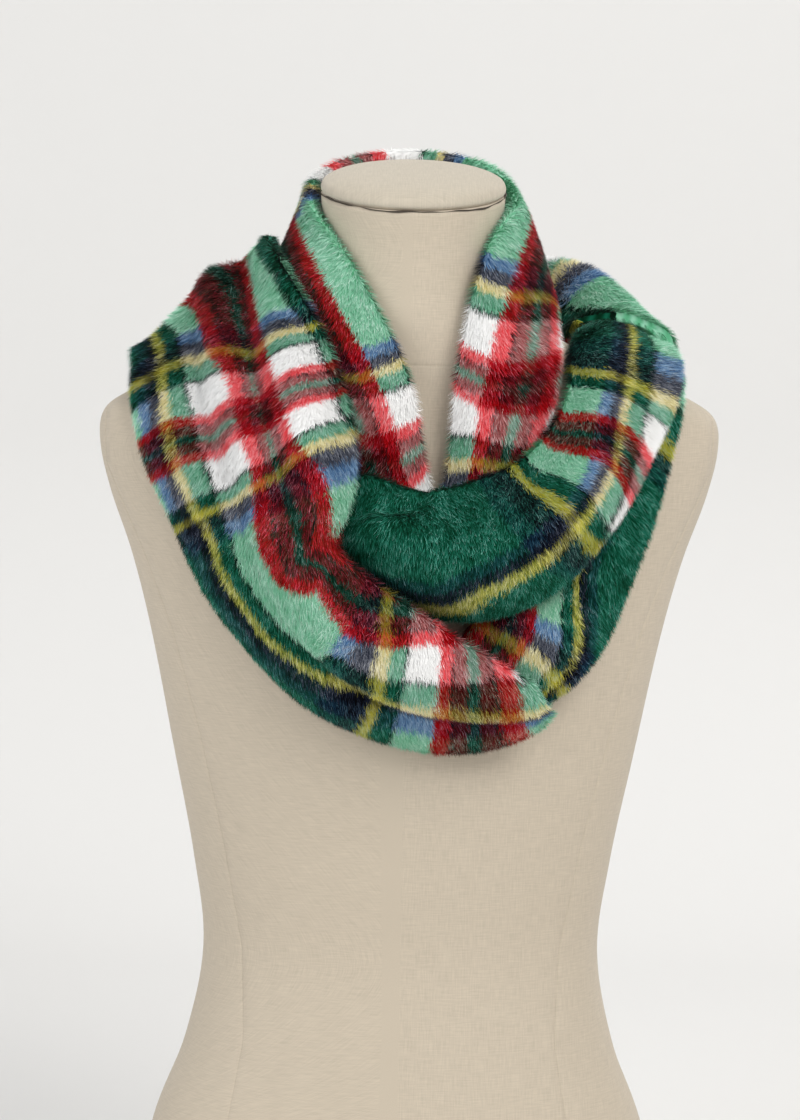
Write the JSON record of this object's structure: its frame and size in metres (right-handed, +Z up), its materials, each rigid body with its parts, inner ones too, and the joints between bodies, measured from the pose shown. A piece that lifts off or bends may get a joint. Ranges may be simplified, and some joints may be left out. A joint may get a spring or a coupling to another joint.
{
  "type": "infinity scarf on a limbless dress form",
  "caption": "Plush plaid loop scarf wound double round the neck of a linen-covered dress form: a raised collar turn, a wide front swath and a crossing turn tucked beneath it.",
  "frame": {"origin": "middle of the dress form's flat bottom, on the surface that it stands on", "axes": "+Z up the form to its neck, the front of the form and of the scarf faces -Y, and +X is to the right as the front is looked at"},
  "size_m": [0.3906, 0.3266, 0.751],
  "materials": {
    "plaid_plush": "soft long-pile plush in green, red, white, navy and yellow plaid",
    "linen": "fine plain-weave linen drawn smooth over the form"
  },
  "bodies": {
    "root": {"form_body": "linen", "form_neck_cap": "linen", "scarf_collar_turn": "plaid_plush", "scarf_right_under": "plaid_plush", "scarf_right_over": "plaid_plush", "scarf_back_turn": "plaid_plush", "scarf_left_swath": "plaid_plush"}
  },
  "joints": []
}
